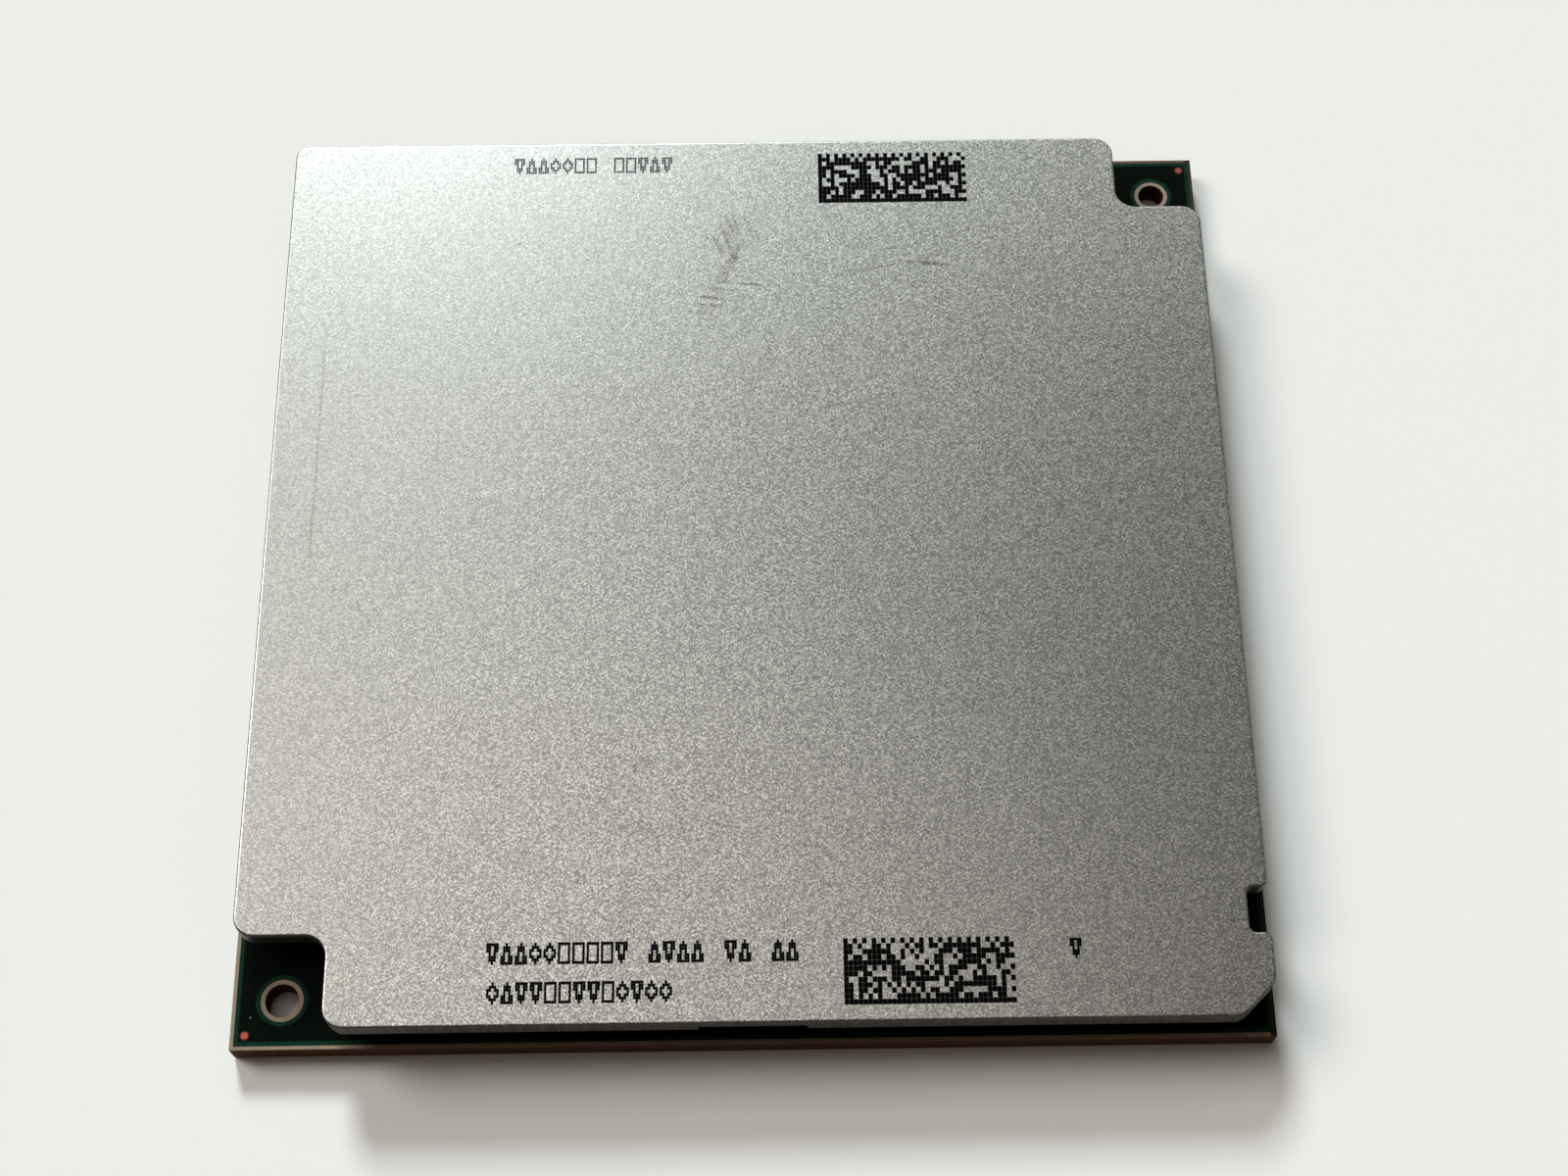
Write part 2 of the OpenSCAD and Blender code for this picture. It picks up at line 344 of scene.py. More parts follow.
def make_lands(name, node, outer, finish):
    """Round lands on a square pitch, without the corners of the grid. Each is a closed disc: its rim slopes
    in from the seat to a slightly smaller face, and a point at angle a lies at the land's middle plus the
    radius times (cos a, sin a)."""
    index = np.arange(-LAND_LAST, LAND_LAST + 1)
    column, row = np.meshgrid(index, index)
    near = np.minimum(np.abs(column), np.abs(row))
    far = np.maximum(np.abs(column), np.abs(row))
    first_corner = LAND_LAST - LAND_CORNER
    is_outer = (far == LAND_LAST) & (near == first_corner)
    chosen = (near <= first_corner) & (is_outer == outer)
    middles = np.stack([column[chosen], row[chosen]], -1) * LAND_PITCH
    angle = np.arange(LAND_SIDES) * 2 * math.pi / LAND_SIDES
    circle = np.stack([np.cos(angle), np.sin(angle)], -1)
    low, high = solid_box(node)
    face = middles[:, None] + circle * (LAND_R - LAND_RIM)
    seat = middles[:, None] + circle * LAND_R
    points, faces = thin_pads(face, low[2], high[2], seat)
    lands = make_piece(name, points, faces, [finish])
    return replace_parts(lands, node)


# Print on the lid

# Code fields: the size of a cell, how much of it is filled, the share of dark cells, and the cut of a corner
CODE_COLUMNS, CODE_ROWS = 36, 12
CODE_CELL = (0.308, 0.367)
CODE_FILL = 0.985
CODE_SHARE = 0.64
CORNER_CUT = 0.06
REAR_CODE_AT, REAR_SEED = (5.46, 28.27), 11
FRONT_CODE_AT, FRONT_SEED = (5.90, -32.76), 23
# Marks: dots each way, the share of a step that a mark takes, how near to its outline a dot is set, and the
# gap between groups in steps
MARK_COLUMNS, MARK_ROWS = 5, 7
MARK_SHARE = 0.88
MARK_REACH = 0.34
GROUP_GAP = 1.3
# Each row of marks: left end, middle, height of a mark, step from mark to mark, how much of its place a dot
# fills, and the marks in each group
REAR_ROWS = [(-17.36, 31.84, 1.40, 0.90, 0.82, (7, 5))]
FRONT_ROWS = [
    (-17.25, -29.10, 1.47, 0.93, CODE_FILL, (10, 4, 2, 2)),
    (-17.15, -31.70, 1.45, 0.93, CODE_FILL, (13,)),
    (20.6, -29.20, 1.35, 0.90, CODE_FILL, (1,))]


def cut_cells(middles, size):
    """Cells as eight-cornered outlines: a rectangle about each middle with its corners cut off."""
    cut = 1 - 2 * CORNER_CUT
    right_and_rear = [(1, -cut), (1, cut), (cut, 1), (-cut, 1)]
    left_and_front = [(-1, cut), (-1, -cut), (-cut, -1), (cut, -1)]
    return middles[:, None] + np.array(right_and_rear + left_and_front) * np.array(size) / 2


def code_field(corner, seed):
    """Dark cells of one code field: a full bar on the left and the bottom, a broken one on the top and the
    right, and an even seeded draw inside."""
    column, row = np.meshgrid(np.arange(CODE_COLUMNS), np.arange(CODE_ROWS))
    dark = np.random.default_rng(seed).random(column.shape) < CODE_SHARE
    dark = np.where(column == CODE_COLUMNS - 1, row % 2 == 0, dark)
    dark = np.where(row == CODE_ROWS - 1, column % 2 == 0, dark)
    dark |= (column == 0) | (row == 0)
    middles = np.stack([column[dark] + 0.5, row[dark] + 0.5], -1) * CODE_CELL + corner
    return cut_cells(middles, np.array(CODE_CELL) * CODE_FILL)


def shape_dots():
    """Dots of four plain outlines on one small grid: a box, a diamond and a triangle either way up. A dot is
    set where its column lies near the outline's half width at that row, and all along a flat end."""
    across = np.abs(np.linspace(-1, 1, MARK_COLUMNS))
    up = np.linspace(-1, 1, MARK_ROWS)[:, None]
    half_width = np.stack([up * 0 + 1, 1 - np.abs(up), (1 - up) / 2, (1 + up) / 2])
    flat_end = np.stack([np.abs(up) == 1, np.zeros_like(up, bool), up == -1, up == 1])
    return (np.abs(across - half_width) < MARK_REACH) | flat_end


def mark_row(seed, left, middle, height, step, fill, groups):
    """A row of plain outlines in groups, drawn by dots, with a seeded draw of the outline at each place."""
    places = np.concatenate([np.arange(n) + sum(groups[:k]) + GROUP_GAP * k for k, n in enumerate(groups)])
    shapes = shape_dots()
    drawn = shapes[np.random.default_rng(seed).integers(0, len(shapes), len(places))]
    place, row, column = np.nonzero(drawn)
    across = MARK_SHARE * step / MARK_COLUMNS
    up = height / MARK_ROWS
    x = left + places[place] * step + (column + 0.5) * across
    y = middle + (row - (MARK_ROWS - 1) / 2) * up
    return cut_cells(np.stack([x, y], -1), (across * fill, up * fill))


def make_print(name, code, rows, finish):
    """One printed end of the lid: its code field and its rows of marks as thin pads of ink."""
    outlines = np.concatenate([code] + [mark_row(seed, *row) for seed, row in enumerate(rows)])
    points, faces = thin_pads(outlines, LID_TOP, LID_HIGH[2])
    return make_piece(name, points, faces, [finish])


# Shader nodes

def add_node(tree, kind, settings=None, **inputs):
    """One node with its settings, its inputs filled with values or joined to other nodes' outputs."""
    node = tree.nodes.new(kind)
    for name, value in (settings or {}).items():
        setattr(node, name, value)
    for name, value in inputs.items():
        feed(tree, node.inputs[name.replace("_", " ")], value)
    return node


def feed(tree, socket, value):
    """Joins an output to a socket, or sets the socket's own value."""
    if isinstance(value, bpy.types.NodeSocket):
        tree.links.new(value, socket)
    else:
        socket.default_value = value


def math_of(tree, operation, *values):
    """Output of a Math node on one to three values."""
    node = add_node(tree, "ShaderNodeMath", {"operation": operation})
    for socket, value in zip(node.inputs, values):
        feed(tree, socket, value)
    return node.outputs[0]


def vector_of(tree, operation, *values):
    """Output of a Vector Math node: the number where the operation gives one, and otherwise the vector."""
    node = add_node(tree, "ShaderNodeVectorMath", {"operation": operation})
    for socket, value in zip(node.inputs, values):
        feed(tree, socket, value)
    gives_number = operation in ("LENGTH", "DOT_PRODUCT", "DISTANCE")
    return node.outputs["Value" if gives_number else "Vector"]


def parts_of(tree, vector):
    """The X, Y and Z outputs of a vector."""
    return add_node(tree, "ShaderNodeSeparateXYZ", None, Vector=vector).outputs


def flat_of(tree, position):
    """A position with its height left out."""
    return vector_of(tree, "MULTIPLY", position, (1, 1, 0))


def ramp_of(tree, value, low, high, to_low=0.0, to_high=1.0):
    """A value carried smoothly from one range to another and held at its ends."""
    settings = {"interpolation_type": "SMOOTHSTEP"}
    ends = {"From_Min": low, "From_Max": high, "To_Min": to_low, "To_Max": to_high}
    return add_node(tree, "ShaderNodeMapRange", settings, Value=value, **ends).outputs["Result"]


def fall_of(tree, value, low, high, top=1.0):
    """A smooth fall from the top value at the low end of a range to 0 at its high end."""
    return ramp_of(tree, value, low, high, top, 0.0)


# Where a Map Range node keeps its sockets for vectors, and a Mix node those for colours
VECTOR_RANGE_INPUTS = (6, 7, 8, 9, 10)
MIX_COLOUR_INPUTS = (0, 6, 7)
MIX_COLOUR_OUTPUT = 2


def soft_lanes_of(tree, vector, low, high):
    """A vector whose lanes rise smoothly from 0 to 1, each between the same low and high value."""
    settings = {"data_type": "FLOAT_VECTOR", "interpolation_type": "SMOOTHSTEP"}
    node = add_node(tree, "ShaderNodeMapRange", settings)
    values = (vector, (low, low, low), (high, high, high), (0, 0, 0), (1, 1, 1))
    for index, value in zip(VECTOR_RANGE_INPUTS, values):
        feed(tree, node.inputs[index], value)
    return node.outputs["Vector"]


def mix_of(tree, factor, first, second, blend="MIX"):
    """Two colours mixed by a factor."""
    node = add_node(tree, "ShaderNodeMix", {"data_type": "RGBA", "blend_type": blend})
    for index, value in zip(MIX_COLOUR_INPUTS, (factor, first, second)):
        feed(tree, node.inputs[index], value)
    return node.outputs[MIX_COLOUR_OUTPUT]


def noise_of(tree, position, scale, detail=2.0):
    """Value of a noise with so many cells to the millimetre."""
    node = add_node(tree, "ShaderNodeTexNoise", None, Vector=position, Scale=scale, Detail=detail)
    return node.outputs["Fac"]


def new_group(name, inputs, outputs):
    """An empty shader node group with named sockets, and its input and output nodes."""
    tree = bpy.data.node_groups.new(name, "ShaderNodeTree")
    for label, kind, value in inputs:
        socket = tree.interface.new_socket(label, in_out="INPUT", socket_type=kind)
        if value is not None:
            socket.default_value = value
    for label, kind in outputs:
        tree.interface.new_socket(label, in_out="OUTPUT", socket_type=kind)
    return tree, tree.nodes.new("NodeGroupInput"), tree.nodes.new("NodeGroupOutput")


def use_group(tree, group, **inputs):
    """A node group placed in a tree, with its inputs filled or joined."""
    node = tree.nodes.new("ShaderNodeGroup")
    node.node_tree = group
    for name, value in inputs.items():
        feed(tree, node.inputs[name.replace("_", " ")], value)
    return node


# Node groups

FLOAT, VECTOR = "NodeSocketFloat", "NodeSocketVector"
COARSE_SHARE = 0.65
FINE_RATIO = 2.1
# A stroke is whole to a quarter of its length from its middle, and gone at its ends
STROKE_END, STROKE_WHOLE = 0.5, 0.25


def grain_group():
    """Fine grain: two noises, one at the grain's size and one at about half of it, added by their shares and
    stretched about the middle."""
    inputs = [("Position", VECTOR, None), ("Size", FLOAT, 0.2), ("Contrast", FLOAT, 1.0)]
    tree, given, result = new_group("fine grain", inputs, [("Grain", FLOAT), ("Height", FLOAT)])
    position = given.outputs["Position"]
    cells = math_of(tree, "DIVIDE", 1.0, given.outputs["Size"])
    fine_cells = math_of(tree, "MULTIPLY", cells, FINE_RATIO)
    coarse = noise_of(tree, position, cells, detail=1.0)
    fine = noise_of(tree, position, fine_cells, detail=1.0)
    fine_part = math_of(tree, "MULTIPLY", fine, 1 - COARSE_SHARE)
    height = math_of(tree, "MULTIPLY_ADD", coarse, COARSE_SHARE, fine_part)
    away = math_of(tree, "SUBTRACT", height, 0.5)
    grain = math_of(tree, "MULTIPLY_ADD", away, given.outputs["Contrast"], 1.0)
    tree.links.new(grain, result.inputs["Grain"])
    tree.links.new(height, result.inputs["Height"])
    return tree


def three_marks_group():
    """Darkening and painted sheen of three thin marks at once, one in each lane of a vector. The distance
    across a mark, over its half width, and the share of its length from its middle are each X and Y times two
    numbers, plus a third. The result is one minus the depth times a soft fall across the mark and a soft fade
    towards its ends: a depth below zero lifts it above one, as painted sheen."""
    lanes = ["Across X", "Across Y", "Across start", "Along X", "Along Y", "Along start", "Depth"]
    inputs = [("X", FLOAT, 0.0), ("Y", FLOAT, 0.0), ("Broken", FLOAT, 1.0)]
    inputs += [(lane, VECTOR, None) for lane in lanes]
    tree, given, result = new_group("three marks", inputs, [("Wear and sheen", FLOAT)])
    taken = given.outputs

    def distance(way):
        """Distance from the three marks' middles one way, in shares of their half width or length."""
        by_x = vector_of(tree, "MULTIPLY_ADD", taken["X"], taken[way + " X"], taken[way + " start"])
        by_both = vector_of(tree, "MULTIPLY_ADD", taken["Y"], taken[way + " Y"], by_x)
        return vector_of(tree, "ABSOLUTE", by_both)

    across = soft_lanes_of(tree, distance("Across"), 1.0, 0.0)
    along = soft_lanes_of(tree, distance("Along"), STROKE_END, STROKE_WHOLE)
    cover = vector_of(tree, "MULTIPLY", across, along)
    deep = vector_of(tree, "MULTIPLY", vector_of(tree, "MULTIPLY", cover, taken["Depth"]), taken["Broken"])
    left = parts_of(tree, vector_of(tree, "SUBTRACT", (1, 1, 1), deep))
    wear_and_sheen = math_of(tree, "MULTIPLY", math_of(tree, "MULTIPLY", left["X"], left["Y"]), left["Z"])
    tree.links.new(wear_and_sheen, result.inputs["Wear and sheen"])
    return tree


def board_plan_group():
    """Distances on the board's plan: in from the nearest edge, and out from the rim of the nearer locating
    hole and of the nearer copper dot."""
    outputs = [("Edge distance", FLOAT), ("Hole distance", FLOAT), ("Dot distance", FLOAT)]
    tree, given, result = new_group("board plan", [("Position", VECTOR, None)], outputs)
    flat = flat_of(tree, given.outputs["Position"])
    reach = parts_of(tree, vector_of(tree, "ABSOLUTE", flat))
    edge = math_of(tree, "SUBTRACT", float(BOARD_HALF), math_of(tree, "MAXIMUM", reach["X"], reach["Y"]))

    def nearer(circles):
        """Least distance to two circles on the board's diagonal."""
        found = [math_of(tree, "SUBTRACT", vector_of(tree, "DISTANCE", flat, (at, at, 0)), radius)
                 for at, radius in circles]
        return math_of(tree, "MINIMUM", *found)

    holes = nearer([(-HOLE_OFFSET, FRONT_HOLE_R), (HOLE_OFFSET, REAR_HOLE_R)])
    dots = nearer([(-DOT_OFFSET, DOT_R), (DOT_OFFSET, DOT_R)])
    tree.links.new(edge, result.inputs["Edge distance"])
    tree.links.new(holes, result.inputs["Hole distance"])
    tree.links.new(dots, result.inputs["Dot distance"])
    return tree


GRAIN = grain_group()
THREE_MARKS = three_marks_group()
BOARD_PLAN = board_plan_group()


# Finishes

# The heights that a roughness follows lie mostly between these
HEIGHT_LOW, HEIGHT_HIGH = 0.3, 0.7


def new_finish(name, **values):
    """A material with one Principled shader, its plain values set on their own sockets, and a position in
    millimetres."""
    material = bpy.data.materials.new(name)
    material.use_nodes = True
    tree = material.node_tree
    shader = tree.nodes["Principled BSDF"]
    for label, value in values.items():
        shader.inputs[label.replace("_", " ")].default_value = value
    place = tree.nodes.new("ShaderNodeTexCoord").outputs["Object"]
    position = vector_of(tree, "MULTIPLY", place, (1 / MM, 1 / MM, 1 / MM))
    return material, tree, shader, position


def add_bump(tree, shader, height, depth, strength):
    """Fine relief: a height from 0 to 1 that stands so many millimetres high."""
    bump = add_node(tree, "ShaderNodeBump", None, Strength=strength, Distance=depth * MM, Height=height)
    tree.links.new(bump.outputs["Normal"], shader.inputs["Normal"])


def vary_roughness(tree, shader, height, in_hollows, on_peaks):
    """Roughness that follows a height, from one value in the hollows to another on the peaks."""
    rough = ramp_of(tree, height, HEIGHT_LOW, HEIGHT_HIGH, in_hollows, on_peaks)
    tree.links.new(rough, shader.inputs["Roughness"])


def tinted(tree, colour, grain):
    """A colour multiplied all over by a grain about one."""
    shade = add_node(tree, "ShaderNodeCombineColor", None, Red=grain, Green=grain, Blue=grain)
    return mix_of(tree, 1.0, colour, shade.outputs["Color"], "MULTIPLY")


NICKEL = (0.42, 0.42, 0.405, 1)
NICKEL_ROUGHNESS = 0.31
NICKEL_GRAIN = {"Size": 0.18, "Contrast": 0.4}
FACET_SIZE = 0.08
FACET_TILT = 0.035
# The mean of an even draw from 0 to 1, and the mean of its square
MEAN_DRAW, MEAN_SQUARE = 1 / 2, 1 / 3
# The facets' contrast grows along a run over the lid, from the rear left to the front right
SHADE_RUN = (0.8, -0.35, 0)
SHADE_FROM, SHADE_TO = -30.0, 4.0
FINE_SHADE, FULL_SHADE = 0.60, 1.40
# Each stroke takes a little less of the red and more of the blue, and a noise breaks it up
STROKE_TINT = (0.92, 1.0, 1.13)
BREAK_SCALE = 2.6
BREAK_FROM, BREAK_TO = 0.32, 0.58
BREAK_LEAST = 0.35
# Strokes on the lid's top: start, end, half width, and how far each darkens the metal or, below zero,
# lightens it. The darkening strokes are wear marks; the lightening ones are painted sheen along scratches.
LONE_STROKES = [
    ((-30.6, 20.0), (-30.6, -4.0), 0.15, 0.30),
    ((-22.0, 17.0), (-22.1, 4.0), 0.25, 0.10),
    ((-19.8, 4.1), (-14.8, 5.0), 0.16, -0.30)]
SCUFF_STROKES = [
    ((5.8, 21.7), (11.8, 23.1), 0.19, 0.34),
    ((11.2, 23.1), (15.6, 22.7), 0.20, 0.52),
    ((-2.6, 26.0), (-1.6, 23.4), 0.20, 0.44),
    ((-2.0, 26.8), (-0.9, 23.4), 0.20, 0.42),
    ((-1.6, 27.5), (-0.9, 25.6), 0.18, 0.38),
    ((-1.0, 27.6), (-0.4, 25.0), 0.18, 0.34),
    ((-0.2, 27.4), (0.6, 25.2), 0.20, 0.30),
    ((0.4, 26.6), (0.9, 24.9), 0.20, 0.24),
    ((-0.2, 25.4), (-1.1, 23.0), 0.26, 0.34),
    ((-1.2, 27.4), (-1.1, 23.4), 1.50, 0.18),
    ((-0.5, 24.2), (-2.1, 21.4), 0.70, 0.36),
    ((-3.1, 21.6), (1.9, 21.1), 0.18, 0.42),
    ((-2.6, 21.3), (0.6, 20.95), 0.18, -0.22),
    ((-3.2, 21.0), (-0.2, 20.7), 0.17, 0.43),
    ((-3.6, 20.65), (-1.2, 20.35), 0.18, -0.22),
    ((-3.7, 20.3), (-1.2, 20.0), 0.18, 0.41),
    ((-3.9, 20.0), (-1.3, 19.7), 0.18, -0.22),
    ((-4.1, 19.65), (-1.2, 19.35), 0.18, 0.43),
    ((-4.5, 19.05), (-2.3, 18.75), 0.17, 0.40),
    ((-3.6, 18.45), (-1.5, 18.2), 0.17, 0.34),
    ((-2.2, 21.4), (-2.9, 19.0), 1.30, 0.17)]
# Dark specks on the lid's top: place and radius
LONE_SPECKS = [
    ((-16.75, 25.0), 0.16), ((21.25, 32.1), 0.14), ((-23.25, -2.5), 0.12), ((-28.75, -3.0), 0.13),
    ((7.0, -14.1), 0.12), ((32.5, -5.1), 0.14), ((31.5, -7.0), 0.12), ((21.0, -32.0), 0.13)]
SCUFF_SPECKS = [((-2.87, 25.3), 0.16), ((-0.1, 26.9), 0.11), ((1.5, 25.2), 0.10), ((4.4, 23.7), 0.13)]
SPECK_SHADE = 0.45
SPECK_CORE = 0.3


def stroke_lanes(strokes):
    """Strokes by threes, as the lanes of the three marks' inputs: along is the run over its length squared,
    counted from the middle, and across is the run turned left over its length and half width."""
    marks = np.array([(*start, *end, width, depth) for start, end, width, depth in strokes])
    start, run = marks[:, :2], marks[:, 2:4] - marks[:, :2]
    length = np.linalg.norm(run, axis=1)
    along = run / length[:, None] ** 2
    across = np.column_stack([-run[:, 1], run[:, 0]]) / (length * marks[:, 4])[:, None]
    columns = {
        "Across_X": across[:, 0],
        "Across_Y": across[:, 1],
        "Across_start": -(across * start).sum(1),
        "Along_X": along[:, 0],
        "Along_Y": along[:, 1],
        "Along_start": -(along * start).sum(1) - 0.5,
        "Depth": marks[:, 5]}
    threes = [slice(first, first + 3) for first in range(0, len(marks), 3)]
    return [{name: column[three].tolist() for name, column in columns.items()} for three in threes]


def blasted_nickel(name, strokes, specks):
    """Blasted plating: small facets that tilt and shade at random, more of them dull than bright, a softer
    grain, and the strokes and specks of use, the lightening strokes being painted sheen."""
    material, tree, shader, position = new_finish(name, Metallic=1.0, Roughness=NICKEL_ROUGHNESS)
    flat = flat_of(tree, position)
    settings = {"feature": "F1", "voronoi_dimensions": "2D"}
    facets = add_node(tree, "ShaderNodeTexVoronoi", settings, Vector=flat, Scale=1 / FACET_SIZE)
    draw = facets.outputs["Color"]
    facet = add_node(tree, "ShaderNodeSeparateColor", None, Color=draw).outputs["Red"]
    sparkle = math_of(tree, "MULTIPLY_ADD", facet, facet, -MEAN_SQUARE)
    along = vector_of(tree, "DOT_PRODUCT", flat, SHADE_RUN)
    contrast = ramp_of(tree, along, SHADE_FROM, SHADE_TO, FINE_SHADE, FULL_SHADE)
    grain = use_group(tree, GRAIN, Position=position, **NICKEL_GRAIN)
    shade = math_of(tree, "MULTIPLY_ADD", sparkle, contrast, grain.outputs["Grain"])
    for middle, radius in specks:
        away = vector_of(tree, "DISTANCE", flat, (*middle, 0))
        speck = ramp_of(tree, away, SPECK_CORE * radius, radius, SPECK_SHADE, 1.0)
        shade = math_of(tree, "MULTIPLY", shade, speck)
    broken = ramp_of(tree, noise_of(tree, flat, BREAK_SCALE), BREAK_FROM, BREAK_TO, BREAK_LEAST, 1.0)
    place = parts_of(tree, position)
    # Product of all strokes: below one is wear, above one is painted sheen
    wear_and_sheen = 1.0
    for lanes in stroke_lanes(strokes):
        marks = use_group(tree, THREE_MARKS, X=place["X"], Y=place["Y"], Broken=broken, **lanes)
        wear_and_sheen = math_of(tree, "MULTIPLY", wear_and_sheen, marks.outputs["Wear and sheen"])
    red, green, blue = [math_of(tree, "POWER", wear_and_sheen, power) for power in STROKE_TINT]
    stain_and_sheen = add_node(tree, "ShaderNodeCombineColor", None, Red=red, Green=green, Blue=blue).outputs["Color"]
    colour = mix_of(tree, 1.0, tinted(tree, NICKEL, shade), stain_and_sheen, "MULTIPLY")
    tree.links.new(colour, shader.inputs["Base Color"])
    lean = vector_of(tree, "SUBTRACT", draw, (MEAN_DRAW, MEAN_DRAW, MEAN_DRAW))
    tilt = vector_of(tree, "MULTIPLY", lean, (FACET_TILT, FACET_TILT, FACET_TILT))
    surface = tree.nodes.new("ShaderNodeNewGeometry").outputs["Normal"]
    tilted = vector_of(tree, "NORMALIZE", vector_of(tree, "ADD", surface, tilt))
    tree.links.new(tilted, shader.inputs["Normal"])
    return material


# Colour of the lid's walls, far darker than its top: the darkness is painted shade
WALL_PAINTED_SHADE = (0.052, 0.047, 0.040, 1)
WALL_STRETCH = (1, 1, 0.12)
WALL_GRAIN = {"Size": 0.35, "Contrast": 0.7}


def plated_wall_painted_dark():
    """The lid's walls and underside: smoother plating with faint upright drawing marks, coloured far darker
    than the top as painted shade.
    """
    material, tree, shader, position = new_finish("plated wall painted dark", Metallic=1.0)
    drawn = vector_of(tree, "MULTIPLY", position, WALL_STRETCH)
    marks = use_group(tree, GRAIN, Position=drawn, **WALL_GRAIN).outputs
    tree.links.new(tinted(tree, WALL_PAINTED_SHADE, marks["Grain"]), shader.inputs["Base Color"])
    vary_roughness(tree, shader, marks["Height"], in_hollows=0.5, on_peaks=0.38)
    add_bump(tree, shader, marks["Height"], depth=0.01, strength=0.4)
    return material


BARE_LAMINATE = (0.30, 0.232, 0.172, 1)
WEAVE_GRAIN = {"Size": 0.3, "Contrast": 0.9}
# The bare rim of the board is darker along the rear edge, and darkest along the right, where the dark colour
# is painted shadow
RIM_FROM, RIM_TO = float(BOARD_HALF) - 0.45, float(BOARD_HALF) - 0.35
REAR_RIM = (0.11, 0.082, 0.055, 1)
RIGHT_RIM_SHADOW = (0.035, 0.026, 0.017, 1)
# Round each copper dot the laminate lies dark in the mask's opening
WELL = (0.014, 0.006, 0.004, 1)
WELL_FROM, WELL_TO = 0.12, 0.16
# Cut walls begin this far in from the board's faces, and give way to them over this height
FACE_DEPTH, FACE_BLEND = 0.05, 0.04
LAYER_RUN = (0, 0, 7.0)
LAYER_FROM, LAYER_TO = 0.35, 0.65
DARK_LAYER = (0.025, 0.0080, 0.0032, 1)
PALE_LAYER = (0.066, 0.0235, 0.0092, 1)
FIBRE_STRETCH = (1, 1, 2.5)
FIBRE_GRAIN = {"Size": 0.22, "Contrast": 1.3}


def laminate_finish():
    """Glass and resin laminate: pale bare faces, darker along the rear rim and with painted shadow along the
    right one, and cut walls in thin brown layers specked with fibre ends."""
    material, tree, shader, position = new_finish("cut laminate", Specular_IOR_Level=0.08)
    place = parts_of(tree, position)
    above = math_of(tree, "SUBTRACT", place["Z"], float(BOARD_HIGH[2]) - FACE_DEPTH)
    below = math_of(tree, "SUBTRACT", float(BOARD_LOW[2]) + FACE_DEPTH, place["Z"])
    face = ramp_of(tree, math_of(tree, "MAXIMUM", above, below), 0.0, FACE_BLEND)
    weave = use_group(tree, GRAIN, Position=position, **WEAVE_GRAIN).outputs
    bare = tinted(tree, BARE_LAMINATE, weave["Grain"])
    bare = mix_of(tree, ramp_of(tree, place["Y"], RIM_FROM, RIM_TO), bare, REAR_RIM)
    # The right rim is darkened as painted shadow
    bare = mix_of(tree, ramp_of(tree, place["X"], RIM_FROM, RIM_TO), bare, RIGHT_RIM_SHADOW)
    plan = use_group(tree, BOARD_PLAN, Position=position).outputs
    well = fall_of(tree, plan["Dot distance"], WELL_FROM, WELL_TO)
    bare = mix_of(tree, well, bare, WELL)
    layer = noise_of(tree, vector_of(tree, "MULTIPLY", position, LAYER_RUN), 1.0)
    cut = mix_of(tree, ramp_of(tree, layer, LAYER_FROM, LAYER_TO), DARK_LAYER, PALE_LAYER)
    stretched = vector_of(tree, "MULTIPLY", position, FIBRE_STRETCH)
    fibres = use_group(tree, GRAIN, Position=stretched, **FIBRE_GRAIN).outputs
    cut = tinted(tree, cut, fibres["Grain"])
    tree.links.new(mix_of(tree, face, cut, bare), shader.inputs["Base Color"])
    vary_roughness(tree, shader, layer, in_hollows=0.75, on_peaks=0.6)
    add_bump(tree, shader, layer, depth=0.02, strength=0.5)
    return material


MASK_FIELD = (0.0011, 0.0032, 0.0017, 1)
MASK_BARE = (0.0045, 0.030, 0.019, 1)
MASK_GRAIN = {"Size": 0.5, "Contrast": 1.0}
# Where no copper lies beneath: a strip by the board's edge and a collar round each hole
STRIP_FROM, STRIP_TO = 0.50, 0.56
COLLAR_FROM, COLLAR_TO = 0.56, 0.62
DUST = (0.42, 0.42, 0.40, 1)
DUST_SCALE = 0.5
DUST_FROM, DUST_TO, DUST_SHARE = 0.016, 0.034, 0.5
# One clear speck of dust by the front left dot
LONE_DUST_AT = (-33.0, -32.1, 0)
LONE_DUST_FROM, LONE_DUST_TO = 0.025, 0.055


def without_copper(tree, plan):
    """Share of the mask with no copper beneath, from the distances on the board's plan."""
    strip = fall_of(tree, plan["Edge distance"], STRIP_FROM, STRIP_TO)
    collar = fall_of(tree, plan["Hole distance"], COLLAR_FROM, COLLAR_TO)
    return math_of(tree, "MAXIMUM", strip, collar)


